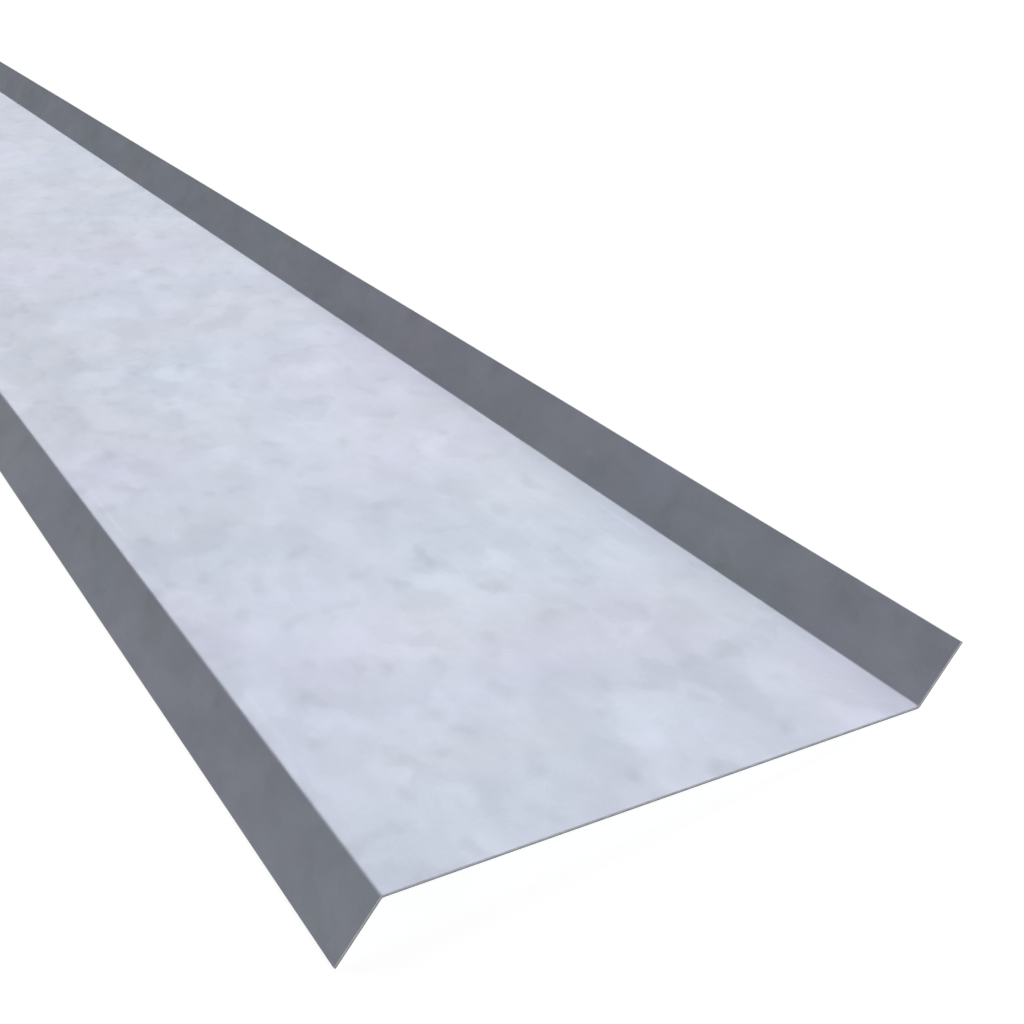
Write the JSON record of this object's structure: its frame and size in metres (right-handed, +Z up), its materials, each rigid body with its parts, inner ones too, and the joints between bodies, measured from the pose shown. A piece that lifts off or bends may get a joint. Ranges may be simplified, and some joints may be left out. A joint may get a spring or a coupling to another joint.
{
  "type": "z flashing",
  "caption": "Z-shaped flashing strip of folded galvanised sheet steel: a wide web, with a nailing leg turned up along its back and a drip leg turned down along its front.",
  "frame": {"origin": "on the floor that the strip rests on, under the middle of its overall width and length", "axes": "+Y along the strip, from the end that the picture shows to the end that it cuts off; +X across the strip towards the raised nailing leg; +Z up from the floor"},
  "size_m": [0.1688, 3.048, 0.0128],
  "materials": {
    "galvanised_steel": "satin"
  },
  "bodies": {
    "root": {"z_flashing": "galvanised_steel"}
  },
  "joints": []
}
